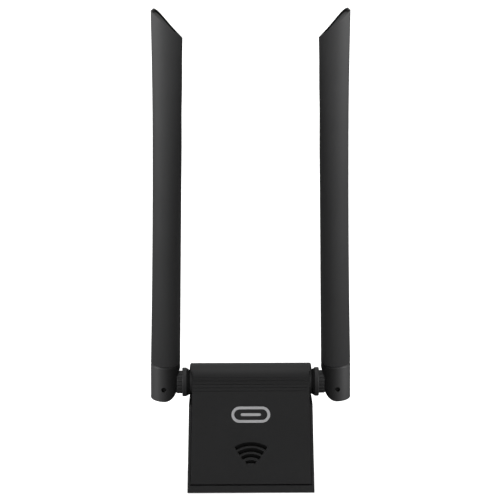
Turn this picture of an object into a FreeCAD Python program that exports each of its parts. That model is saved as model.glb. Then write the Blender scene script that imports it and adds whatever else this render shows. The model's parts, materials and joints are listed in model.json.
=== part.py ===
"""A desktop USB wireless adapter: a wedge-shaped housing with a folding paddle antenna at each side.

Millimetres, +Z up, front towards -Y. The origin is on the desk, under the middle of the housing's base.
Most places are given from the swivel axis, which runs along X through the rounded top of the housing.
"""
import FreeCAD
import Part
import math
import os
from FreeCAD import Placement, Rotation, Vector

# Housing
BARREL_R = 8.5          # rounded top of the housing, round the swivel axis
AXIS_HEIGHT = 46.6      # swivel axis above the underside of the housing
FEET_PROUD = 0.4        # rubber feet below the underside
BASE_DEPTH = 30.0
PANEL_TILT = 12.0       # front panel leans back, degrees
LIP_HEIGHT = 3.4        # rear shell's upturned edge below the front cover
LIP_SETBACK = 0.35      # foot of the lip behind the line of the panel
HALF_WIDTH = 27.25      # at the top of the barrel
SIDE_SPREAD = 0.6       # the sides spread towards the base, degrees from vertical
SIDE_DRAFT = 2.5        # and close in towards the rear, degrees
BEYOND = 5.0            # how far cutting shapes reach past what they cut
WALL = 1.5
SIDE_WALL = 1.2
SEAM = 0.18             # gap at the sides of the front cover
TOP_SEAM = 0.06         # gap over the front cover
LIP_SEAM = 0.6          # gap under the front cover
SEAM_ANGLE = 35.0       # upper edge of the front cover, degrees above level, seen from the axis
EDGE_ROUND = 0.8

# Front cover details, with places measured down the panel from where it leaves the barrel
GROOVE_R = 0.13
GROOVE_ANGLES = (24.7, 14.4)
GROOVE_DROPS = (1.2, 2.7)
EMBLEM_DROP = 13.5
EMBLEM_LENGTH = 17.4
EMBLEM_HEIGHT = 7.4
EMBLEM_LINE = 1.25
EMBLEM_BAR = 9.05
EMBLEM_THICK = 0.3
SIGNAL_DROP = 39.85     # common centre of the signal arcs
SIGNAL_ARCS = ((12.9, 1.75, 33.0), (10.2, 1.75, 33.0), (7.6, 1.6, 33.0), (4.9, 1.4, 27.0))
SIGNAL_RECESS = 1.25
GUIDE_SIZE = (17.0, 12.5)
GUIDE_THICK = 1.0
GUIDE_LOW = 2.6         # lower edge of the plate, above the centre of the arcs
GUIDE_STEM_R = 2.2
GUIDE_STEM_GAP = 0.3    # above the light
GUIDE_EASE = 0.4        # bars shorter than their slots at each end, degrees

# Circuit board and what is on it
PCB_FRONT = -1.0        # its front face, from the swivel axis
PCB_THICK = 1.2
PCB_HALF_WIDTH = 24.0
PCB_TOP = -9.0
PCB_BOTTOM = -44.3
SCREW_X = 20.6
SCREW_HEIGHTS = (-13.0, -40.0)
SCREW_R = 1.1
SCREW_HEAD_R = 2.0
SCREW_HEAD = 1.4
SCREW_SEAT = 2.2        # head seat below the rear surface
SCREW_LONGEST = 12.0
SCREW_SHORT_OF = 3.75   # the shank ends at least this far behind the panel
CROSS_ARM = 1.3
CROSS_HALF = 0.25       # half the width of the cross in a screw head
BOSS_R = 2.4
FIT = 0.06              # clearance all round a piece that is only located
SNUG = 0.02             # clearance round a piece that is held tight
ROOM = 0.2              # clearance round a piece that passes through loosely
PROUD = 0.2             # overshoot of a cut above a surface
CAN_X = (-13.0, 9.0)
CAN_UP = (-28.0, -11.5)
CAN_HEIGHT = 2.2
CAN_SKIN = 0.2
CAN_MIDDLE = (sum(CAN_X) / 2, sum(CAN_UP) / 2)
CHIP_HALF = 4.5
CHIP_HEIGHT = 1.0
CHIP_PAD_HALF = 4.0
SINK_BASE = 1.0
SINK_HEIGHT = 4.2
SINK_FINS = 7
SINK_FIN = 0.8
LED_UP = -31.0
LED_HEIGHT = 0.8
LED_HALF = (0.8, 0.4)
CRYSTAL = ((11.4, 14.6), (-25.3, -22.8), 0.8)       # across, up, height
INDUCTOR = ((11.2, 15.6), (-34.4, -30.0), 2.0)
INDUCTOR_ROUND = 0.5
# rows of small parts: first corner, step, how many, size, height
CHIP_ROWS = (((-11.0, -38.4), (4.6, 0), 5, (1.6, 0.8), 0.6),
             ((-11.0, -41.6), (4.6, 0), 5, (1.0, 0.6), 0.5),
             ((-17.4, -27.0), (0, 3.2), 4, (1.6, 0.8), 0.6))
CONNECTOR_X = 15.5
CONNECTOR_UP = -11.6
CONNECTOR_HALF = 1.5
CONNECTOR_R = 1.2
CONNECTOR_HEIGHT = 2.0
CONNECTOR_BASE = 0.25
BEND_R = 3.0            # bend of the aerial cable inside the housing

# USB Type-C receptacle, low in the rear
USB_WIDTH = 8.94
USB_HEIGHT = 3.26
USB_SKIN = 0.3
USB_UP = -36.0
USB_FACE = -10.95       # mouth of the receptacle
USB_FLOOR = 1.6
USB_TONGUE = (6.4, 0.7, 5.4)
CONTACTS = 12
CONTACT_PITCH = 0.5
CONTACT_HALF = 0.12
CONTACT_DEEP = 0.1
CONTACT_FROM_TIP = 0.9
CONTACT_FROM_ROOT = 0.6

# Feet and label
FOOT_R = 3.2
FOOT_THICK = 1.0
FOOT_X = 22.0
FOOT_Y = 9.6
FOOT_EDGE = 0.2
LABEL_WIDTH = 34.0
LABEL_HEIGHT = 14.0
LABEL_THICK = 0.15
LABEL_UP = -22.0

# Pockets for the antenna bases
POCKET_R = 7.0
POCKET_FLOOR = 26.2
POCKET_WALL = 2.0
POCKET_ROOT = 0.4       # the inner wall's hold on the side wall
POCKET_SILL = 1.6       # inner wall below the pocket

# Antennas: distances outwards from the middle of the housing
ANTENNA_X = 38.2
ANTENNA_R = 6.6
PIN_X = 39.0
PIN_UP = -1.35
PIN_R = 1.15
PIN_HALF = 5.8
PIN_EDGE = 0.2
HINGE_R = 5.8           # rounded corner and square end of the knuckle, from the pin
BEVEL_LOW = 3.8         # the knuckle slopes in over the collar, from here
BEVEL_HIGH = 7.3        # up to here
COLLAR_GAP = 0.1        # between collar and knuckle
FLUTES = 18
FLUTE_R = 0.5
FLUTE_OUT = 1.03        # middles of the flutes, in radii of the collar
COLLAR_OUT = 33.1
COLLAR_IN = 30.7
COLLAR_R = 5.15
COLLAR_EDGE = 0.2
FLANGE_IN = 28.9
FLANGE_R = 6.5
FLANGE_EDGE = 0.35
NECK_R = 5.45
NECK_OUT = 27.3
NECK_GAP = 0.15         # between the neck's shoulder and the floor of the pocket
SHAFT_R = 4.0
SHAFT_END = 21.2
SHAFT_EDGE = 0.5
RUNNING = 0.06          # radial running clearance
CLIP_OUT = 23.7
CLIP_THICK = 0.8
CLIP_SLACK = 0.1        # room for the clip in its groove
CLIP_PLAY = 0.05        # between the clip and the washer
CLIP_GROOVE_R = 3.2
CLIP_R = 5.4
CLIP_MOUTH = 2.2
WASHER_R = 6.0
TONGUE_HALF = 1.95
NECK_ROOT = 0.5         # the neck starts this far inside the collar
NECK_DOWN = 3.1         # underside of the tongue's neck, below the pin
TONGUE_R = 3.75
SLOT_HALF = 2.0
SLOT_R = 4.0
CABLE_R = 0.7
CABLE_GAP = 0.6         # between the cable's pieces
CABLE_OUT = 36.8        # outer end of the swivel's piece
CABLE_LOW = 3.4         # lower end of the antenna's piece
BORE_R = 1.0
SEAM_UP = 9.3           # where the sheath meets the knuckle
KNUCKLE_GAP = 0.06
SPIGOT_R = 5.0
SPIGOT_TOP = 17.0

# Sheath: outer and inner edges at the seam, the waist and the tip
SHEATH_HEIGHTS = (9.3, 92.0, 175.0)
SHEATH_OUTER = (44.8, 43.85, 44.1)
SHEATH_INNER = (31.6, 30.95, 30.3)
RIM_CHAMFER = 0.5       # round the seam, on both pieces
ROUND_UP_TO = 45.0      # the sheath is round below this
BLADE_FROM = 178.0      # and fully blade-shaped from here
LOFT_HEIGHTS = (9.3, 30.0, 45.0, 70.0, 95.0, 120.0, 145.0, 165.0, 186.0)    # the last is past the tip
TIP_HEIGHTS = (150.0, 165.0, 186.0)
BLADE_FORWARD = 3.0     # the blade's edges, forward of the axis
BLADE_TURN = 1.0        # outer edge further back, inner edge further forward
BLADE_CROWN = 1.8       # bulge of its front
BLADE_BACK = (5.0, 6.5, 2.8)    # fullness of its back: middle, outwards, and more so
OUTLINE_POINTS = 36
TIP_OUTER = 179.2
TIP_INNER = 167.4
CAP_THICK = 1.2
CAP_DOWN = 0.9          # cap below the rim
CAP_RIM = 0.8

# Inside the sheath
CAVITY_LOW_R = 4.9
CAVITY_HIGH_R = 1.6
CAVITY_TOP = 156.0
SLEEVE_R = 1.9
SLEEVE_BORE = 1.5
SLEEVE_LOW = 58.0
FEED_UP = 84.0
WHIP_R = 0.5
WHIP_THICK_R = 1.4
WHIP_THICK = (108.0, 134.0)
WHIP_TOP = 146.0
SPACER_THICK = 4.0
SPACERS = ((40.0, CABLE_R), (96.0, WHIP_R), (138.0, WHIP_R))    # height, radius of what they hold

SIDES = (("left", False), ("right", True))
FAR = 20.0              # well outside an antenna

AXIS_Z = FEET_PROUD + AXIS_HEIGHT
TILT = math.radians(PANEL_TILT)


def panel_forward(up, inset=0.0):
    """How far forward the front panel's plane is at a height from the axis."""
    r = BARREL_R - inset
    drop = (r * math.sin(TILT) - up) / math.cos(TILT)
    return r * math.cos(TILT) + drop * math.sin(TILT)


WELL_OUTSIDE = HALF_WIDTH + BEYOND
BASE_FRONT = panel_forward(-AXIS_HEIGHT) - LIP_SETBACK
BASE_REAR = BASE_FRONT - BASE_DEPTH
AXIS_Y = BASE_FRONT - BASE_DEPTH / 2
# angle above the rear horizontal at which the rear wall leaves the barrel
REAR_REACH = math.hypot(BASE_REAR, AXIS_HEIGHT)
REAR_TILT = math.asin(-BASE_REAR / REAR_REACH) - math.asin(BARREL_R / REAR_REACH)


def at(x, forward, up):
    """A point given from the middle of the swivel axis."""
    return Vector(x, AXIS_Y - forward, AXIS_Z + up)


def block(x0, x1, rear, front, low, high):
    return Part.makeBox(x1 - x0, front - rear, high - low, at(x0, front, low))


def rod(radius, start, end):
    along = end - start
    return Part.makeCylinder(radius, along.Length, start, along)


def prism(points, half):
    """A (forward, up) outline, carried across X from -half to +half."""
    wire = Part.makePolygon([at(-half, *p) for p in points + points[:1]])
    return Part.Face(wire).extrude(Vector(2 * half, 0, 0))


def mirrored(shape):
    return shape.mirror(Vector(0, 0, 0), Vector(1, 0, 0))


def both(shape):
    return shape.fuse(mirrored(shape))


def rear_back(up, inset=0.0):
    """Forward place of the rear wall's plane, which is negative, at a height from the axis."""
    r = BARREL_R - inset
    return up * math.tan(REAR_TILT) - r / math.cos(REAR_TILT)


# ---- Housing -------------------------------------------------------------------------------

def section(inset):
    """Cross-section of the housing, an even wall inside the outer surface."""
    r = BARREL_R - inset
    low = -AXIS_HEIGHT + inset
    front = at(0, r * math.cos(TILT), r * math.sin(TILT))
    top = at(0, 0, r)
    rear = at(0, -r * math.cos(REAR_TILT), r * math.sin(REAR_TILT))
    corners = [rear, at(0, rear_back(low, inset), low)]
    if inset:
        corners += [at(0, panel_forward(low, inset), low)]
    else:
        lip_top = low + LIP_HEIGHT
        corners += [at(0, BASE_FRONT, low), at(0, panel_forward(lip_top), lip_top)]
    corners += [front]
    arc = Part.Arc(front, top, rear).toShape()
    return Part.Face(Part.Wire([arc] + Part.makePolygon(corners).Edges))


def half_width(up, forward):
    spread = math.tan(math.radians(SIDE_SPREAD)) * (BARREL_R - up)
    draft = math.tan(math.radians(SIDE_DRAFT)) * forward
    return HALF_WIDTH + spread + draft


def width_limits(inset):
    """A block as wide as the tapering housing, less an inset at each side."""
    high = BARREL_R + BEYOND
    low = -AXIS_HEIGHT - BEYOND
    ends = []
    for forward in (BASE_DEPTH, -BASE_DEPTH):
        half_high = half_width(high, forward) - inset
        half_low = half_width(low, forward) - inset
        corners = [(-half_high, high), (half_high, high), (half_low, low), (-half_low, low)]
        points = [at(x, forward, up) for x, up in corners]
        ends.append(Part.makePolygon(points + points[:1]))
    return Part.makeLoft(ends, True, True)


def housing(inset, side_inset):
    body = section(inset)
    body.translate(Vector(-WELL_OUTSIDE, 0, 0))
    return body.extrude(Vector(2 * WELL_OUTSIDE, 0, 0)).common(width_limits(side_inset))


def outer_body():
    """The housing before it is hollowed, with the edges round its sides eased."""
    body = housing(0, 0)
    near_side = HALF_WIDTH - 2 * EDGE_ROUND
    behind_barrel = AXIS_Y + BARREL_R - EDGE_ROUND
    eased = [e for e in body.Edges if isinstance(e.Curve, (Part.Circle, Part.Ellipse))
             or (abs(e.CenterOfMass.x) > near_side and e.CenterOfMass.y > behind_barrel)]
    return body.makeFillet(EDGE_ROUND, eased)


def cover_zone(seams):
    """Where the front cover goes. With seams, it is the larger room that the shell leaves for it."""
    a = math.radians(SEAM_ANGLE)
    top_gap = TOP_SEAM if seams else 0
    shift_forward = top_gap * math.sin(a)
    shift_up = top_gap * math.cos(a)
    low = -AXIS_HEIGHT + LIP_HEIGHT + (0 if seams else LIP_SEAM)
    inner = panel_forward(low, WALL + 1)
    points = [(-shift_forward, shift_up),
              (BASE_DEPTH * math.cos(a) - shift_forward, BASE_DEPTH * math.sin(a) + shift_up),
              (2 * BASE_DEPTH, low), (inner, low)]
    side = SIDE_WALL if seams else SIDE_WALL + SEAM
    return prism(points, WELL_OUTSIDE).common(width_limits(side))


def on_panel(shape, drop, proud=0.0):
    """Lays a flat shape, drawn in XY and thick along Z, on the front panel."""
    r = BARREL_R + proud
    forward = r * math.cos(TILT) + drop * math.sin(TILT)
    up = r * math.sin(TILT) - drop * math.cos(TILT)
    turn = Rotation(Vector(1, 0, 0), 90 - PANEL_TILT)
    shape.Placement = Placement(at(0, forward, up), turn).multiply(shape.Placement)
    return shape


def arc_slot(radius, width, half_angle, depth):
    """A curved bar, standing depth deep below Z = 0, centred on +Y."""
    outer = radius + width / 2
    inner = radius - width / 2
    turn = math.radians(half_angle)

    def point(r, a):
        return Vector(r * math.sin(a), r * math.cos(a), -depth)

    edges = [Part.Arc(point(outer, -turn), point(outer, 0), point(outer, turn)).toShape(),
             Part.makeLine(point(outer, turn), point(inner, turn)),
             Part.Arc(point(inner, turn), point(inner, 0), point(inner, -turn)).toShape(),
             Part.makeLine(point(inner, -turn), point(outer, -turn))]
    return Part.Face(Part.Wire(edges)).extrude(Vector(0, 0, depth))


def capsule(length, height, thick):
    """A bar with round ends, lying on Z = 0."""
    r = height / 2
    run = length / 2 - r
    bar = Part.makeBox(2 * run, height, thick, Vector(-run, -r, 0))
    for x in (-run, run):
        bar = bar.fuse(Part.makeCylinder(r, thick, Vector(x, 0, 0)))
    return bar.removeSplitter()


def emblem_mark(grow, thick):
    """A plain ring with a bar in it."""
    ring = capsule(EMBLEM_LENGTH + 2 * grow, EMBLEM_HEIGHT + 2 * grow, thick)
    window = capsule(EMBLEM_LENGTH - 2 * EMBLEM_LINE - 2 * grow,
                     EMBLEM_HEIGHT - 2 * EMBLEM_LINE - 2 * grow, thick)
    bar = capsule(EMBLEM_BAR + 2 * grow, EMBLEM_LINE + 2 * grow, thick)
    return ring.cut(window).fuse(bar)


def screw_places():
    return [(x, up) for up in SCREW_HEIGHTS for x in (-SCREW_X, SCREW_X)]


def front_cover():
    cover = outer_body().common(cover_zone(False)).cut(housing(WALL, 0))
    for x, up in screw_places():
        boss = rod(BOSS_R, at(x, PCB_FRONT, up), at(x, panel_forward(up) - WALL / 2, up))
        pilot = rod(SCREW_R + SNUG, at(x, PCB_FRONT, up), at(x, panel_forward(up) - 2 * WALL, up))
        cover = cover.fuse(boss.common(housing(WALL / 2, SIDE_WALL))).cut(pilot)
    half = WELL_OUTSIDE
    for angle in GROOVE_ANGLES:
        a = math.radians(angle)
        place = (BARREL_R * math.cos(a), BARREL_R * math.sin(a))
        cover = cover.cut(rod(GROOVE_R, at(-half, *place), at(half, *place)))
    for drop in GROOVE_DROPS:
        forward = BARREL_R * math.cos(TILT) + drop * math.sin(TILT)
        up = BARREL_R * math.sin(TILT) - drop * math.cos(TILT)
        cover = cover.cut(rod(GROOVE_R, at(-half, forward, up), at(half, forward, up)))
    for radius, width, half_angle in SIGNAL_ARCS:
        cover = cover.cut(on_panel(arc_slot(radius, width, half_angle, 3 * WALL), SIGNAL_DROP, PROUD))
    recess = on_panel(emblem_mark(FIT, EMBLEM_THICK), EMBLEM_DROP, -EMBLEM_THICK / 2)
    return cover.cut(recess).removeSplitter()


def emblem():
    return on_panel(emblem_mark(0, EMBLEM_THICK), EMBLEM_DROP, -EMBLEM_THICK / 2)


def light_guide():
    """Dark translucent arcs in the cover's slots, on one plate, with a stem back to the light."""
    width, height = GUIDE_SIZE
    corner = Vector(-width / 2, GUIDE_LOW, -WALL - FIT - GUIDE_THICK)
    plate = Part.makeBox(width, height, GUIDE_THICK, corner)
    guide = on_panel(plate, SIGNAL_DROP)
    for radius, width, half_angle in SIGNAL_ARCS:
        deep = WALL + GUIDE_THICK / 2 - SIGNAL_RECESS
        bar = arc_slot(radius, width - 2 * FIT, half_angle - GUIDE_EASE, deep)
        guide = guide.fuse(on_panel(bar, SIGNAL_DROP, -SIGNAL_RECESS))
    front = panel_forward(LED_UP) - WALL - GUIDE_THICK / 2
    stem = rod(GUIDE_STEM_R, at(0, PCB_FRONT + LED_HEIGHT + GUIDE_STEM_GAP, LED_UP), at(0, front, LED_UP))
    return guide.fuse(stem).removeSplitter()


def pocket():
    """The U-shaped recess in the left side, open to the front."""
    round_end = rod(POCKET_R, at(-WELL_OUTSIDE, 0, 0), at(-POCKET_FLOOR, 0, 0))
    run_out = block(-WELL_OUTSIDE, -POCKET_FLOOR, 0, BASE_DEPTH, -POCKET_R, POCKET_R)
    return round_end.fuse(run_out)


def pocket_wall():
    """Inner wall round the left pocket, which carries the swivel."""
    wall = block(-POCKET_FLOOR - POCKET_ROOT, -POCKET_FLOOR + POCKET_WALL, -BARREL_R, 1.5 * BARREL_R,
                 -POCKET_R - POCKET_SILL, BARREL_R)
    return wall.common(housing(WALL + SEAM, SIDE_WALL / 2))


def usb_opening():
    opening = capsule(USB_WIDTH + 2 * ROOM, USB_HEIGHT + 2 * ROOM, 2 * BEYOND)
    opening.Placement = Placement(at(0, USB_FACE - BEYOND, USB_UP), Rotation(Vector(1, 0, 0), 90))
    return opening


def rear_shell():
    shell = outer_body().cut(housing(WALL, SIDE_WALL)).cut(cover_zone(True))
    bore = rod(SHAFT_R + RUNNING, at(-WELL_OUTSIDE, 0, 0), at(-SHAFT_END, 0, 0))
    shell = shell.fuse(both(pocket_wall())).cut(both(pocket())).cut(both(bore))
    board = PCB_FRONT - PCB_THICK
    for x, up in screw_places():
        back = rear_back(up)
        boss = rod(BOSS_R, at(x, back + WALL / 2, up), at(x, board, up))
        hole = rod(SCREW_R + ROOM, at(x, back - BEYOND, up), at(x, board + 1, up))
        head = rod(SCREW_HEAD_R + ROOM, at(x, back - BEYOND, up), at(x, back + SCREW_SEAT, up))
        shell = shell.fuse(boss).cut(hole).cut(head)
    for x, y in foot_places():
        seat = Part.makeCylinder(FOOT_R + ROOM / 2, FOOT_THICK - FEET_PROUD, Vector(x, y, FEET_PROUD))
        shell = shell.cut(seat)
    return shell.cut(usb_opening()).cut(label_plate(ROOM / 2)).removeSplitter()


def foot_places():
    return [(x, y) for x in (-FOOT_X, FOOT_X) for y in (-FOOT_Y, FOOT_Y)]


def rubber_feet():
    feet = []
    for x, y in foot_places():
        foot = Part.makeCylinder(FOOT_R, FOOT_THICK, Vector(x, y, 0))
        rim = [e for e in foot.Edges if e.CenterOfMass.z < 0.01 and isinstance(e.Curve, Part.Circle)]
        feet.append(foot.makeFillet(FOOT_EDGE, rim))
    return Part.makeCompound(feet)


def label_plate(grow):
    """A thin rectangle let into the rear wall."""
    width = LABEL_WIDTH + 2 * grow
    height = LABEL_HEIGHT + 2 * grow
    plate = Part.makeBox(width, height, LABEL_THICK, Vector(-width / 2, -height / 2, -LABEL_THICK))
    turn = Rotation(Vector(1, 0, 0), -90 + math.degrees(REAR_TILT))
    flip = Rotation(Vector(0, 0, 1), 180)
    plate.Placement = Placement(at(0, rear_back(LABEL_UP), LABEL_UP), turn.multiply(flip))
    return plate


def housing_screws():
    """Four cross-head screws, from the rear into the cover's bosses."""
    screws = []
    for x, up in screw_places():
        seat = rear_back(up) + SCREW_SEAT
        end = min(panel_forward(up) - SCREW_SHORT_OF, seat + SCREW_LONGEST)
        top = seat - SCREW_HEAD
        head = rod(SCREW_HEAD_R, at(x, top, up), at(x, seat, up))
        shank = rod(SCREW_R, at(x, seat, up), at(x, end, up))
        deep = top + SCREW_HEAD / 2
        across = block(x - CROSS_ARM, x + CROSS_ARM, top, deep, up - CROSS_HALF, up + CROSS_HALF)
        upright = block(x - CROSS_HALF, x + CROSS_HALF, top, deep, up - CROSS_ARM, up + CROSS_ARM)
        screws.append(head.fuse(shank).cut(across).cut(upright).removeSplitter())
    return Part.makeCompound(screws)


# ---- Electronics ---------------------------------------------------------------------------

def main_pcb():
    back = PCB_FRONT - PCB_THICK
    board = block(-PCB_HALF_WIDTH, PCB_HALF_WIDTH, back, PCB_FRONT, PCB_BOTTOM, PCB_TOP)
    for x, up in screw_places():
        board = board.cut(rod(SCREW_R + ROOM, at(x, back - 1, up), at(x, PCB_FRONT + 1, up)))
    return board


def on_board(middle, half, start, end):
    """A square block standing off the board's front, between two heights above it."""
    x, up = middle
    return block(x - half, x + half, PCB_FRONT + start, PCB_FRONT + end, up - half, up + half)


def wifi_chip():
    return on_board(CAN_MIDDLE, CHIP_HALF, 0, CHIP_HEIGHT)


def chip_pad():
    """Soft heat-conducting pad between the chip and the can's lid."""
    return on_board(CAN_MIDDLE, CHIP_PAD_HALF, CHIP_HEIGHT, CAN_HEIGHT - CAN_SKIN)


def shield_can():
    can = block(*CAN_X, PCB_FRONT, PCB_FRONT + CAN_HEIGHT, *CAN_UP)
    x0, x1 = CAN_X
    low, high = CAN_UP
    hollow = block(x0 + CAN_SKIN, x1 - CAN_SKIN, PCB_FRONT - 1, PCB_FRONT + CAN_HEIGHT - CAN_SKIN,
                   low + CAN_SKIN, high - CAN_SKIN)
    return can.cut(hollow)


def heat_sink():
    """A finned plate on the lid of the can."""
    base = PCB_FRONT + CAN_HEIGHT
    x0 = CAN_X[0] + 1
    x1 = CAN_X[1] - 1
    low = CAN_UP[0] + 1
    high = CAN_UP[1] - 1
    sink = block(x0, x1, base, base + SINK_BASE, low, high)
    for i in range(SINK_FINS):
        x = x0 + (x1 - x0 - SINK_FIN) * i / (SINK_FINS - 1)
        sink = sink.fuse(block(x, x + SINK_FIN, base, base + SINK_HEIGHT, low, high))
    return sink.removeSplitter()


def usb_shell():
    length = PCB_FRONT - PCB_THICK - USB_FACE
    outer = capsule(USB_WIDTH, USB_HEIGHT, length)
    inner = capsule(USB_WIDTH - 2 * USB_SKIN, USB_HEIGHT - 2 * USB_SKIN, length - USB_FLOOR)
    shell = outer.cut(inner)
    shell.Placement = Placement(at(0, USB_FACE, USB_UP), Rotation(Vector(1, 0, 0), 90))
    return shell


def usb_tongue():
    width, height, length = USB_TONGUE
    root = PCB_FRONT - PCB_THICK - USB_FLOOR
    blade = block(-width / 2, width / 2, root - length, root, USB_UP - height / 2, USB_UP + height / 2)
    return blade.cut(usb_contacts())


def usb_contacts():
    """Two rows of flat contacts, let into the faces of the tongue."""
    width, height, length = USB_TONGUE
    root = PCB_FRONT - PCB_THICK - USB_FLOOR
    pads = []
    for i in range(CONTACTS):
        x = (i - (CONTACTS - 1) / 2) * CONTACT_PITCH
        for low in (USB_UP - height / 2, USB_UP + height / 2 - CONTACT_DEEP):
            pads.append(block(x - CONTACT_HALF, x + CONTACT_HALF, root - length + CONTACT_FROM_TIP,
                              root - CONTACT_FROM_ROOT, low, low + CONTACT_DEEP))
    return Part.makeCompound(pads)


def status_led():
    half_width, half_height = LED_HALF
    return block(-half_width, half_width, PCB_FRONT, PCB_FRONT + LED_HEIGHT,
                 LED_UP - half_height, LED_UP + half_height)


def standing(across, up, height):
    """A block on the board's front."""
    return block(*across, PCB_FRONT, PCB_FRONT + height, *up)


def crystal():
    return standing(*CRYSTAL)


def power_inductor():
    coil = standing(*INDUCTOR)
    return coil.makeFillet(INDUCTOR_ROUND, [e for e in coil.Edges if e.tangentAt(0).y ** 2 > 0.9])


def small_components():
    """Capacitors and resistors in rows beside the can and above the receptacle."""
    chips = []
    for (x, up), (step_x, step_up), count, (width, tall), height in CHIP_ROWS:
        for i in range(count):
            left = x + i * step_x
            low = up + i * step_up
            chips.append(standing((left, left + width), (low, low + tall), height))
    return Part.makeCompound(chips)


def coax_connectors():
    """A snap-on aerial connector at each side of the board."""
    plugs = []
    for x in (-CONNECTOR_X, CONNECTOR_X):
        base = on_board((x, CONNECTOR_UP), CONNECTOR_HALF, 0, CONNECTOR_BASE)
        top = at(x, PCB_FRONT + CONNECTOR_HEIGHT, CONNECTOR_UP)
        plug = rod(CONNECTOR_R, at(x, PCB_FRONT, CONNECTOR_UP), top)
        plugs.append(base.fuse(plug).removeSplitter())
    return Part.makeCompound(plugs)


def left_pigtail():
    """Aerial cable from the connector, up and then out to the bore of the swivel."""
    start = at(-CONNECTOR_X, 0, CONNECTOR_UP + CONNECTOR_R + FIT)
    bend_start = at(-CONNECTOR_X, 0, -BEND_R)
    corner = BEND_R * (1 - math.cos(math.pi / 4))
    bend_mid = at(-CONNECTOR_X - corner, 0, -corner)
    bend_end = at(-CONNECTOR_X - BEND_R, 0, 0)
    end = at(-SHAFT_END + CABLE_GAP + 1, 0, 0)
    route = Part.Wire([Part.makeLine(start, bend_start),
                       Part.Arc(bend_start, bend_mid, bend_end).toShape(),
                       Part.makeLine(bend_end, end)])
    outline = Part.Wire([Part.makeCircle(CABLE_R, start, Vector(0, 0, 1))])
    return route.makePipeShell([outline], True, True)


# ---- Antennas, drawn for the left side ------------------------------------------------------

def turned(outline):
    """A solid turned about the swivel axis from (distance outwards, radius) corners."""
    points = [at(-out, 0, r) for out, r in outline]
    face = Part.Face(Part.makePolygon(points + points[:1]))
    return face.revolve(at(0, 0, 0), Vector(1, 0, 0), 360)


def swivel_core():
    """Shaft with its clip groove, neck, flange and collar."""
    neck_end = POCKET_FLOOR + NECK_GAP
    groove_end = CLIP_OUT - CLIP_THICK - CLIP_SLACK
    return turned([
        (COLLAR_OUT, 0), (COLLAR_OUT, COLLAR_R - COLLAR_EDGE), (COLLAR_OUT - COLLAR_EDGE, COLLAR_R),
        (COLLAR_IN, COLLAR_R), (COLLAR_IN, FLANGE_R - FLANGE_EDGE), (COLLAR_IN - FLANGE_EDGE, FLANGE_R),
        (FLANGE_IN, FLANGE_R), (NECK_OUT, NECK_R), (neck_end, NECK_R), (neck_end, SHAFT_R),
        (CLIP_OUT, SHAFT_R), (CLIP_OUT, CLIP_GROOVE_R), (groove_end, CLIP_GROOVE_R),
        (groove_end, SHAFT_R), (SHAFT_END + SHAFT_EDGE, SHAFT_R),
        (SHAFT_END, SHAFT_R - SHAFT_EDGE), (SHAFT_END, 0)])


def swivel_base():
    """The turning foot: core, fluted collar, and the tongue that the antenna folds on."""
    base = swivel_core()
    for i in range(FLUTES):
        a = 2 * math.pi * i / FLUTES
        place = (COLLAR_R * FLUTE_OUT * math.cos(a), COLLAR_R * FLUTE_OUT * math.sin(a))
        base = base.cut(rod(FLUTE_R, at(-COLLAR_OUT - 1, *place), at(-COLLAR_IN, *place)))
    neck = block(-PIN_X, -COLLAR_OUT + NECK_ROOT, -TONGUE_HALF, TONGUE_HALF,
                 PIN_UP - NECK_DOWN, PIN_UP + TONGUE_R)
    head = rod(TONGUE_R, at(-PIN_X, TONGUE_HALF, PIN_UP), at(-PIN_X, -TONGUE_HALF, PIN_UP))
    pin_hole = rod(PIN_R + RUNNING, at(-PIN_X, BEYOND, PIN_UP), at(-PIN_X, -BEYOND, PIN_UP))
    bore = rod(BORE_R, at(-SHAFT_END + 1, 0, 0), at(-CABLE_OUT - SNUG, 0, 0))
    return base.fuse(neck).fuse(head).cut(pin_hole).cut(bore).removeSplitter()


def swivel_washer():
    start = at(-(POCKET_FLOOR - POCKET_WALL - SNUG), 0, 0)
    end = at(-CLIP_OUT, 0, 0)
    return rod(WASHER_R, start, end).cut(rod(SHAFT_R + RUNNING, start, end))


def swivel_clip():
    """Open ring that holds the shaft in the housing."""
    start = at(-CLIP_OUT + CLIP_PLAY, 0, 0)
    end = at(-CLIP_OUT + CLIP_THICK, 0, 0)
    ring = rod(CLIP_R, start, end).cut(rod(CLIP_GROOVE_R + SNUG, start, end))
    mouth = block(-CLIP_OUT - 1, -CLIP_OUT + 2, -CLIP_MOUTH, CLIP_MOUTH, -2 * CLIP_R, 0)
    return ring.cut(mouth)


def swivel_coax():
    return rod(CABLE_R, at(-SHAFT_END + 1, 0, 0), at(-CABLE_OUT, 0, 0))


def knuckle_form():
    """The knuckle's outside: round towards the housing, square outwards, eased at the top."""
    low = PIN_UP - HINGE_R
    body = rod(ANTENNA_R, at(-ANTENNA_X, 0, low), at(-ANTENNA_X, 0, SEAM_UP - KNUCKLE_GAP))
    top_rim = [e for e in body.Edges if e.BoundBox.ZMin > AXIS_Z + SEAM_UP - 1]
    body = body.makeChamfer(RIM_CHAMFER, top_rim)
    corner = block(-PIN_X, -PIN_X + FAR, -FAR, FAR, PIN_UP - FAR, PIN_UP)
    rounded = rod(HINGE_R, at(-PIN_X, FAR, PIN_UP), at(-PIN_X, -FAR, PIN_UP))
    flat = PIN_X - HINGE_R
    side = ANTENNA_X - ANTENNA_R
    outline = [(-flat, PIN_UP), (-flat, BEVEL_LOW), (-side, BEVEL_HIGH), (-side + FAR, BEVEL_HIGH),
               (-side + FAR, PIN_UP)]
    points = [at(x, FAR, up) for x, up in outline]
    relief = Part.Face(Part.makePolygon(points + points[:1])).extrude(Vector(0, 2 * FAR, 0))
    collar_room = rod(COLLAR_R + COLLAR_GAP, at(-COLLAR_OUT - COLLAR_GAP, 0, 0), at(-COLLAR_IN, 0, 0))
    return body.cut(corner.cut(rounded)).cut(relief).cut(collar_room)


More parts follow.
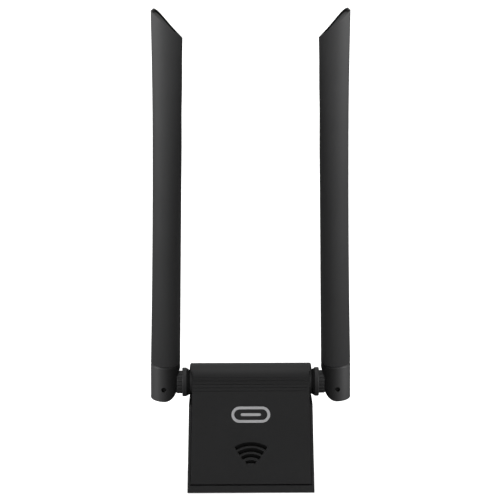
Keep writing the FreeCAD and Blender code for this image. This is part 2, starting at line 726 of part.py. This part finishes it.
def tongue_slot():
    """The room between the cheeks, open inwards, downwards and as far out as the tongue turns."""
    below = PIN_UP - FAR
    slot = block(-PIN_X, -PIN_X + FAR, -SLOT_HALF, SLOT_HALF, below, PIN_UP + SLOT_R)
    slot = slot.fuse(block(-PIN_X - SLOT_R, -PIN_X, -SLOT_HALF, SLOT_HALF, below, PIN_UP))
    return slot.fuse(rod(SLOT_R, at(-PIN_X, SLOT_HALF, PIN_UP), at(-PIN_X, -SLOT_HALF, PIN_UP)))


def knuckle():
    """Foot of the antenna: two cheeks round the tongue, and a spigot that carries the sheath."""
    spigot = rod(SPIGOT_R, at(-ANTENNA_X, 0, SEAM_UP - 1), at(-ANTENNA_X, 0, SPIGOT_TOP))
    pin_hole = rod(PIN_R + SNUG, at(-PIN_X, FAR, PIN_UP), at(-PIN_X, -FAR, PIN_UP))
    bore = rod(BORE_R, at(-ANTENNA_X, 0, 0), at(-ANTENNA_X, 0, SPIGOT_TOP + 1))
    body = knuckle_form().fuse(spigot)
    return body.cut(tongue_slot()).cut(pin_hole).cut(bore).removeSplitter()


def hinge_pin():
    pin = rod(PIN_R, at(-PIN_X, PIN_HALF, PIN_UP), at(-PIN_X, -PIN_HALF, PIN_UP))
    return pin.makeChamfer(PIN_EDGE, [e for e in pin.Edges if isinstance(e.Curve, Part.Circle)])


def through(values, up):
    """A smooth curve through the three edge places of the sheath."""
    a, b, c = SHEATH_HEIGHTS
    va, vb, vc = values
    return (va * (up - b) * (up - c) / ((a - b) * (a - c))
            + vb * (up - a) * (up - c) / ((b - a) * (b - c))
            + vc * (up - a) * (up - b) / ((c - a) * (c - b)))


def blade_share(up):
    """0 where the sheath is round, 1 where it is a blade."""
    t = min(1.0, max(0.0, (up - ROUND_UP_TO) / (BLADE_FROM - ROUND_UP_TO)))
    return t * t * (3 - 2 * t)


def blade_forward(a):
    """Forward place of the blade's surface, at an angle round it from the outer edge."""
    side = math.cos(a)
    edge = BLADE_FORWARD - BLADE_TURN * side
    if a <= math.pi:
        return edge + BLADE_CROWN * math.sin(a) ** 2
    middle, outwards, more = BLADE_BACK
    return edge + math.sin(a) * (middle + outwards * side + more * side ** 2)


def sheath_section(up, inset=0.0):
    """Cross-section of the sheath: round low down, and a blade with a full outer edge at the top."""
    outer = through(SHEATH_OUTER, up)
    inner = through(SHEATH_INNER, up)
    half = (outer - inner) / 2
    share = blade_share(up)
    points = []
    for i in range(OUTLINE_POINTS):
        a = 2 * math.pi * i / OUTLINE_POINTS
        forward = half * math.sin(a) * (1 - share) + blade_forward(a) * share
        points.append(at(-(outer + inner) / 2 - half * math.cos(a), forward, up))
    curve = Part.BSplineCurve()
    curve.interpolate(Points=points, PeriodicFlag=True)
    wire = Part.Wire([curve.toShape()])
    if inset:
        wire.scale(1 - inset / half, Part.Face(wire).CenterOfMass)
    return wire


def tip_slab(above, thick):
    """A slab parallel to the slanting tip, starting above it."""
    outer = SHEATH_OUTER[2]
    inner = SHEATH_INNER[2]
    slope = math.atan2(TIP_OUTER - TIP_INNER, outer - inner)
    slab = Part.makeBox(3 * FAR, 3 * FAR, thick, Vector(-1.5 * FAR, -1.5 * FAR, above))
    slab.rotate(Vector(0, 0, 0), Vector(0, 1, 0), math.degrees(slope))
    slab.translate(at(-(outer + inner) / 2, 0, (TIP_OUTER + TIP_INNER) / 2))
    return slab


def blade_solid():
    """The sheath's outer form, carried on past the tip."""
    return Part.makeLoft([sheath_section(up) for up in LOFT_HEIGHTS], True, False)


def tip_core(rim):
    """The sheath's form near the tip, less a rim all round."""
    return Part.makeLoft([sheath_section(up, rim) for up in TIP_HEIGHTS], True, False)


def tip_recess():
    deep = CAP_DOWN + CAP_THICK
    return tip_slab(-deep, deep).common(tip_core(CAP_RIM))


def cavity_r(up):
    share = (up - SPIGOT_TOP) / (CAVITY_TOP - SPIGOT_TOP)
    return CAVITY_LOW_R + (CAVITY_HIGH_R - CAVITY_LOW_R) * share


def rim_bevel():
    """What the chamfer takes off the sheath's lower rim."""
    foot = at(-ANTENNA_X, 0, SEAM_UP)
    tall = 2 * RIM_CHAMFER
    kept = Part.makeCone(ANTENNA_R - RIM_CHAMFER, ANTENNA_R + RIM_CHAMFER, tall, foot, Vector(0, 0, 1))
    return Part.makeCylinder(2 * ANTENNA_R, tall, foot).cut(kept)


def sheath():
    body = blade_solid().cut(tip_slab(0, 3 * FAR)).cut(tip_recess()).cut(rim_bevel())
    socket = rod(SPIGOT_R + SNUG, at(-ANTENNA_X, 0, SEAM_UP - 1), at(-ANTENNA_X, 0, SPIGOT_TOP + ROOM))
    hollow = Part.makeCone(CAVITY_LOW_R, CAVITY_HIGH_R, CAVITY_TOP - SPIGOT_TOP,
                           at(-ANTENNA_X, 0, SPIGOT_TOP), Vector(0, 0, 1))
    return body.cut(socket).cut(hollow)


def tip_cap():
    return tip_slab(-CAP_DOWN - CAP_THICK, CAP_THICK).common(tip_core(CAP_RIM + FIT))


def antenna_coax():
    return rod(CABLE_R, at(-ANTENNA_X, 0, CABLE_LOW), at(-ANTENNA_X, 0, FEED_UP))


def sleeve_element():
    """Brass tube round the cable: the lower half of the dipole."""
    skin = SLEEVE_R - SLEEVE_BORE
    tube = rod(SLEEVE_R, at(-ANTENNA_X, 0, SLEEVE_LOW), at(-ANTENNA_X, 0, FEED_UP - 1))
    bore = rod(SLEEVE_BORE, at(-ANTENNA_X, 0, SLEEVE_LOW - 1), at(-ANTENNA_X, 0, FEED_UP - 1 - skin))
    cable = rod(CABLE_R + SNUG, at(-ANTENNA_X, 0, SLEEVE_LOW), at(-ANTENNA_X, 0, FEED_UP))
    return tube.cut(bore).cut(cable)


def whip_element():
    """Brass rod above the feed: the upper half of the dipole."""
    low, high = WHIP_THICK
    thin = rod(WHIP_R, at(-ANTENNA_X, 0, FEED_UP), at(-ANTENNA_X, 0, WHIP_TOP))
    thick = rod(WHIP_THICK_R, at(-ANTENNA_X, 0, low), at(-ANTENNA_X, 0, high))
    return thin.fuse(thick).removeSplitter()


def foam_spacers():
    """Soft rings that keep the dipole in the middle of the sheath."""
    rings = []
    for low, core in SPACERS:
        high = low + SPACER_THICK
        ring = rod(cavity_r(high) - FIT, at(-ANTENNA_X, 0, low), at(-ANTENNA_X, 0, high))
        hole = rod(core + SNUG, at(-ANTENNA_X, 0, low - 1), at(-ANTENNA_X, 0, high + 1))
        rings.append(ring.cut(hole))
    return Part.makeCompound(rings)


# ---- Every node ----------------------------------------------------------------------------

HOUSING_NODES = {
    "rear_shell": rear_shell,
    "front_cover": front_cover,
    "emblem": emblem,
    "light_guide": light_guide,
    "rubber_feet": rubber_feet,
    "rear_label": lambda: label_plate(0),
    "housing_screws": housing_screws,
    "main_pcb": main_pcb,
    "wifi_chip": wifi_chip,
    "chip_pad": chip_pad,
    "shield_can": shield_can,
    "heat_sink": heat_sink,
    "usb_shell": usb_shell,
    "usb_tongue": usb_tongue,
    "usb_contacts": usb_contacts,
    "status_led": status_led,
    "crystal": crystal,
    "power_inductor": power_inductor,
    "small_components": small_components,
    "coax_connectors": coax_connectors,
}
SIDE_NODES = {
    "pigtail": left_pigtail,
    "swivel_base": swivel_base,
    "swivel_washer": swivel_washer,
    "swivel_clip": swivel_clip,
    "swivel_coax": swivel_coax,
    "knuckle": knuckle,
    "hinge_pin": hinge_pin,
    "sheath": sheath,
    "tip_cap": tip_cap,
    "antenna_coax": antenna_coax,
    "sleeve_element": sleeve_element,
    "whip_element": whip_element,
    "foam_spacers": foam_spacers,
}


def save(name, shape):
    shape.exportStep(os.path.join("parts", name + ".step"))


def main():
    os.makedirs("parts", exist_ok=True)
    for name, make in HOUSING_NODES.items():
        save(name, make())
    for name, make in SIDE_NODES.items():
        shape = make()
        for side, is_mirrored in SIDES:
            save(f"{side}_{name}", mirrored(shape) if is_mirrored else shape)


main()
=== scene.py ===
"""Look of a desktop wireless adapter: materials, studio and camera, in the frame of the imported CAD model.

Metres, +Z up, front towards -Y. Every part keeps its CAD place; this file gives it a surface.
"""
import json
import math

import bpy
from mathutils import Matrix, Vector


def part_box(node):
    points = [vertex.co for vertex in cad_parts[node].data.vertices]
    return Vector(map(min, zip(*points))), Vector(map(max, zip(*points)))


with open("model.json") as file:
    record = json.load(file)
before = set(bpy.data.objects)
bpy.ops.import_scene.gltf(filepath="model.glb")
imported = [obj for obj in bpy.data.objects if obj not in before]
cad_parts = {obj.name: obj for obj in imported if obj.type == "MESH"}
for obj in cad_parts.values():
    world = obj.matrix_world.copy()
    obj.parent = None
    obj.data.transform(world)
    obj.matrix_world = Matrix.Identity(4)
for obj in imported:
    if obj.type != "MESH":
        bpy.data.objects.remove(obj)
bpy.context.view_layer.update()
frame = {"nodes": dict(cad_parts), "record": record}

MM = 0.001

# Camera: a long lens, from where other views still reach the object and the floor
CAMERA_ELEVATION = 22.0
CAMERA_AZIMUTH = -0.6
CAMERA_DISTANCE = 7.0
CAMERA_REACH = 100.0
SENSOR = 36.0
VIEW_WIDTH = 224.0 * MM
AIM_ABOVE_AXIS = 63.8 * MM
AIM_ASIDE = -0.25 * MM

# Softboxes beside and above the antennas. Each lights, and is shaded by, only some pieces of its
# own side: pieces, (outwards, forwards, up) place, aim height, power
ANTENNA_X = 38.1
SIDE_LIGHTS = {
    "sheath": (("sheath", "tip_cap"), (168, 89, 240), 190, 0.86),
    "cap": (("tip_cap",), (-60, 30, 420), 220, 0.8),
    "knuckle": (("knuckle", "hinge_pin"), (190, 62, 120), 45, 2.3),
    "collar": (("swivel_base",), (160, 100, 150), 47, 1.3),
}
SIDE_LIGHT_SIZE = (0.12, 0.14)

# Softboxes over and behind the whole object: place, size, power
BODY_MIDDLE = (0, 0, 0.1)
TOP_LIGHT = ((0, 0.15, 1.2), (1.0, 1.0), 6.5)
REAR_LIGHT = ((0, 1.1, 0.6), (1.2, 0.8), 1.5)
WORLD_STRENGTH = 0.15

# Floor, and the soft sun that only it receives
FLOOR_HALF = 6.0
FLOOR_LIGHT = 3.7
FLOOR_LIGHT_HEIGHT = 3
FLOOR_LIGHT_ANGLE = 80


# ---- Node helpers --------------------------------------------------------------------------

def new_material(name):
    material = bpy.data.materials.new(name)
    material.use_nodes = True
    tree = material.node_tree
    shader = tree.nodes["Principled BSDF"]
    return material, tree, shader


def object_coordinates(tree, scale=(1, 1, 1)):
    coordinates = tree.nodes.new("ShaderNodeTexCoord")
    mapping = tree.nodes.new("ShaderNodeMapping")
    mapping.inputs["Scale"].default_value = scale
    tree.links.new(coordinates.outputs["Object"], mapping.inputs["Vector"])
    return mapping.outputs["Vector"]


def noise(tree, vector, scale, detail=3.0, roughness=0.5):
    node = tree.nodes.new("ShaderNodeTexNoise")
    node.inputs["Scale"].default_value = scale
    node.inputs["Detail"].default_value = detail
    node.inputs["Roughness"].default_value = roughness
    tree.links.new(vector, node.inputs["Vector"])
    return node.outputs["Fac"]


def ramp(tree, value, low, high):
    """A number that runs from low to high as value runs from 0.3 to 0.7."""
    node = tree.nodes.new("ShaderNodeMapRange")
    node.inputs["From Min"].default_value = 0.3
    node.inputs["From Max"].default_value = 0.7
    node.inputs["To Min"].default_value = low
    node.inputs["To Max"].default_value = high
    tree.links.new(value, node.inputs["Value"])
    return node.outputs["Result"]


def tint(tree, value, dark, light):
    node = tree.nodes.new("ShaderNodeMix")
    node.data_type = "RGBA"
    node.inputs["A"].default_value = (*dark, 1)
    node.inputs["B"].default_value = (*light, 1)
    tree.links.new(value, node.inputs["Factor"])
    return node.outputs["Result"]


def bump(tree, height, strength, distance, below=None):
    node = tree.nodes.new("ShaderNodeBump")
    node.inputs["Strength"].default_value = strength
    node.inputs["Distance"].default_value = distance
    tree.links.new(height, node.inputs["Height"])
    if below is not None:
        tree.links.new(below, node.inputs["Normal"])
    return node.outputs["Normal"]


# ---- Materials -----------------------------------------------------------------------------

def grey(value):
    return (value, value, value * 1.02)


def moulded_plastic(name, shade, roughness, specular, grain=2600.0, depth=0.012 * MM, strength=0.35):
    """Moulded plastic with a fine spark-eroded grain and slow changes of gloss."""
    material, tree, shader = new_material(name)
    place = object_coordinates(tree)
    slow = noise(tree, place, 55.0)
    fine = noise(tree, place, grain, 2.0)
    shader.inputs["Specular IOR Level"].default_value = specular
    tree.links.new(tint(tree, slow, grey(shade * 0.92), grey(shade * 1.08)), shader.inputs["Base Color"])
    tree.links.new(ramp(tree, slow, roughness - 0.03, roughness + 0.03), shader.inputs["Roughness"])
    tree.links.new(bump(tree, fine, strength, depth), shader.inputs["Normal"])
    return material


def metal(name, color, roughness, along=(1, 1, 1)):
    """Bare metal with fine drawn or rolled marks."""
    material, tree, shader = new_material(name)
    place = object_coordinates(tree, along)
    marks = noise(tree, place, 1800.0, 4.0)
    shader.inputs["Metallic"].default_value = 1.0
    dark = tuple(c * 0.85 for c in color)
    tree.links.new(tint(tree, marks, dark, color), shader.inputs["Base Color"])
    tree.links.new(ramp(tree, marks, roughness - 0.06, roughness + 0.06), shader.inputs["Roughness"])
    tree.links.new(bump(tree, marks, 0.2, 0.01 * MM), shader.inputs["Normal"])
    return material


def smoked_window(name):
    """Dark translucent plastic that looks black with the light behind it off."""
    material, tree, shader = new_material(name)
    place = object_coordinates(tree)
    slow = noise(tree, place, 300.0)
    tree.links.new(tint(tree, slow, grey(0.002), grey(0.004)), shader.inputs["Base Color"])
    tree.links.new(ramp(tree, slow, 0.28, 0.36), shader.inputs["Roughness"])
    shader.inputs["Specular IOR Level"].default_value = 0.3
    return material


def silver_print(name):
    """Satin silver ink, a little uneven."""
    material, tree, shader = new_material(name)
    place = object_coordinates(tree)
    flakes = noise(tree, place, 4200.0, 2.0)
    tree.links.new(tint(tree, flakes, grey(0.5), grey(0.6)), shader.inputs["Base Color"])
    tree.links.new(ramp(tree, flakes, 0.42, 0.52), shader.inputs["Roughness"])
    shader.inputs["Metallic"].default_value = 0.15
    tree.links.new(bump(tree, flakes, 0.15, 0.006 * MM), shader.inputs["Normal"])
    return material


def soft(name, shade, roughness=0.85, grain=900.0):
    """Rubber or foam with a fine open surface."""
    material, tree, shader = new_material(name)
    place = object_coordinates(tree)
    cells = noise(tree, place, grain, 5.0, 0.6)
    tree.links.new(tint(tree, cells, grey(shade * 0.8), grey(shade * 1.1)), shader.inputs["Base Color"])
    tree.links.new(ramp(tree, cells, roughness - 0.05, roughness + 0.05), shader.inputs["Roughness"])
    tree.links.new(bump(tree, cells, 0.4, 0.04 * MM), shader.inputs["Normal"])
    shader.inputs["Specular IOR Level"].default_value = 0.25
    return material


def solder_mask(name):
    """Dark board lacquer over faint tracks."""
    material, tree, shader = new_material(name)
    place = object_coordinates(tree, (1, 1, 3))
    tracks = noise(tree, place, 420.0, 1.0)
    tree.links.new(tint(tree, tracks, (0.004, 0.014, 0.010), (0.008, 0.03, 0.02)),
                   shader.inputs["Base Color"])
    tree.links.new(ramp(tree, tracks, 0.25, 0.4), shader.inputs["Roughness"])
    tree.links.new(bump(tree, tracks, 0.2, 0.03 * MM), shader.inputs["Normal"])
    return material


MATERIALS = {
    "housing_black": lambda n: moulded_plastic(n, 0.027, 0.52, 0.25),
    "antenna_black": lambda n: moulded_plastic(n, 0.022, 0.5, 0.22),
    "hinge_black": lambda n: moulded_plastic(n, 0.009, 0.42, 0.2, grain=3200.0),
    "cap_black": lambda n: moulded_plastic(n, 0.024, 0.45, 0.2, grain=3200.0),
    "pin_black": lambda n: metal(n, (0.03, 0.03, 0.03), 0.45),
    "emblem_grey": silver_print,
    "smoked_window": smoked_window,
    "foot_rubber": lambda n: soft(n, 0.02),
    "label_grey": lambda n: moulded_plastic(n, 0.22, 0.5, 0.4, grain=1500.0),
    "screw_steel": lambda n: metal(n, (0.45, 0.45, 0.46), 0.35),
    "board_black": solder_mask,
    "chip_black": lambda n: moulded_plastic(n, 0.02, 0.55, 0.4),
    "pad_grey": lambda n: soft(n, 0.3),
    "can_steel": lambda n: metal(n, (0.62, 0.61, 0.59), 0.32, (1, 1, 8)),
    "sink_aluminium": lambda n: metal(n, (0.72, 0.72, 0.73), 0.38, (1, 1, 0.1)),
    "insulator_black": lambda n: moulded_plastic(n, 0.015, 0.4, 0.4),
    "contact_gold": lambda n: metal(n, (0.83, 0.62, 0.28), 0.3),
    "led_white": lambda n: moulded_plastic(n, 0.7, 0.3, 0.5),
    "component_tan": lambda n: moulded_plastic(n, 0.28, 0.5, 0.4),
    "cable_grey": lambda n: moulded_plastic(n, 0.2, 0.4, 0.4, grain=900.0),
    "washer_nylon": lambda n: moulded_plastic(n, 0.5, 0.45, 0.4),
    "element_brass": lambda n: metal(n, (0.72, 0.52, 0.25), 0.35, (1, 1, 0.1)),
    "spacer_foam": lambda n: soft(n, 0.45, grain=1500.0),
}


def dress_nodes():
    """Gives each CAD node its slot's material."""
    made = {}
    for row in frame["record"]["subparts"]:
        slot = row["material_slot"]
        if slot not in made:
            made[slot] = MATERIALS[slot](slot + "_surface")
        node = frame["nodes"][row["node"]]
        node.data.materials.clear()
        node.data.materials.append(made[slot])


# ---- Studio --------------------------------------------------------------------------------

def place_light(light, place, aim, lit=None, shading=None):
    """Stands a light in the scene. It may light some objects only, and be shaded by some only."""
    light.location = place
    light.rotation_mode = "QUATERNION"
    light.rotation_quaternion = (Vector(aim) - Vector(place)).to_track_quat("-Z", "Y")
    bpy.context.scene.collection.objects.link(light)
    if lit:
        light.light_linking.receiver_collection = group(light.name + "_lit", lit)
    if shading:
        light.light_linking.blocker_collection = group(light.name + "_shading", shading)


def group(name, pieces):
    made = bpy.data.collections.new(name)
    for piece in pieces:
        made.objects.link(piece)
    return made


def area_light(name, place, aim, size, power, lit=None, shading=None):
    data = bpy.data.lights.new(name, "AREA")
    data.shape = "RECTANGLE"
    data.size = size[0]
    data.size_y = size[1]
    data.energy = power
    place_light(bpy.data.objects.new(name, data), place, aim, lit, shading)


def side_lights():
    for name, (parts, (outwards, forwards, up), aim_height, power) in SIDE_LIGHTS.items():
        for side, sign in (("left", -1), ("right", 1)):
            place = (sign * (ANTENNA_X + outwards) * MM, -forwards * MM, up * MM)
            aim = (sign * ANTENNA_X * MM, 0, aim_height * MM)
            lit = [frame["nodes"][f"{side}_{part}"] for part in parts]
            area_light(f"{side}_{name}_softbox", place, aim, SIDE_LIGHT_SIZE, power, lit, lit)


def floor():
    mesh = bpy.data.meshes.new("floor")
    half = FLOOR_HALF
    corners = [(-half, -half, 0), (half, -half, 0), (half, half, 0), (-half, half, 0)]
    mesh.from_pydata(corners, [], [(0, 1, 2, 3)])
    plane = bpy.data.objects.new("floor", mesh)
    bpy.context.scene.collection.objects.link(plane)
    material, tree, shader = new_material("floor_paper")
    place = object_coordinates(tree)
    fibres = noise(tree, place, 900.0)
    tree.links.new(tint(tree, fibres, (0.86, 0.86, 0.86), (0.9, 0.9, 0.9)), shader.inputs["Base Color"])
    shader.inputs["Roughness"].default_value = 0.9
    shader.inputs["Specular IOR Level"].default_value = 0.1
    mesh.materials.append(material)
    plane.visible_glossy = False
    sun = bpy.data.lights.new("floor_light", "SUN")
    sun.energy = FLOOR_LIGHT
    sun.angle = math.radians(FLOOR_LIGHT_ANGLE)
    overhead = (0, 0, FLOOR_LIGHT_HEIGHT)
    place_light(bpy.data.objects.new("floor_light", sun), overhead, (0, 0, 0), [plane], [plane])


def studio():
    world = bpy.data.worlds.new("studio")
    bpy.context.scene.world = world
    world.use_nodes = True
    background = world.node_tree.nodes["Background"]
    background.inputs["Color"].default_value = (1, 1, 1, 1)
    background.inputs["Strength"].default_value = WORLD_STRENGTH
    side_lights()
    for name, (place, size, power) in (("top_softbox", TOP_LIGHT), ("rear_softbox", REAR_LIGHT)):
        area_light(name, place, BODY_MIDDLE, size, power)
    bpy.context.scene.view_settings.view_transform = "Standard"


def camera():
    low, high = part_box("left_swivel_base")
    axis = Vector((0, (low.y + high.y) / 2, (low.z + high.z) / 2))
    aim = axis + Vector((AIM_ASIDE, 0, AIM_ABOVE_AXIS))
    tilt = math.radians(CAMERA_ELEVATION)
    turn = math.radians(CAMERA_AZIMUTH)
    away = Vector((math.sin(turn) * math.cos(tilt), -math.cos(turn) * math.cos(tilt), math.sin(tilt)))
    data = bpy.data.cameras.new("camera")
    data.sensor_width = SENSOR
    data.lens = SENSOR * CAMERA_DISTANCE / VIEW_WIDTH
    data.clip_end = CAMERA_REACH
    eye = bpy.data.objects.new("camera", data)
    eye.location = aim + away * CAMERA_DISTANCE
    eye.rotation_mode = "QUATERNION"
    eye.rotation_quaternion = (-away).to_track_quat("-Z", "Y")
    bpy.context.scene.collection.objects.link(eye)
    bpy.context.scene.camera = eye


camera()
dress_nodes()
floor()
studio()
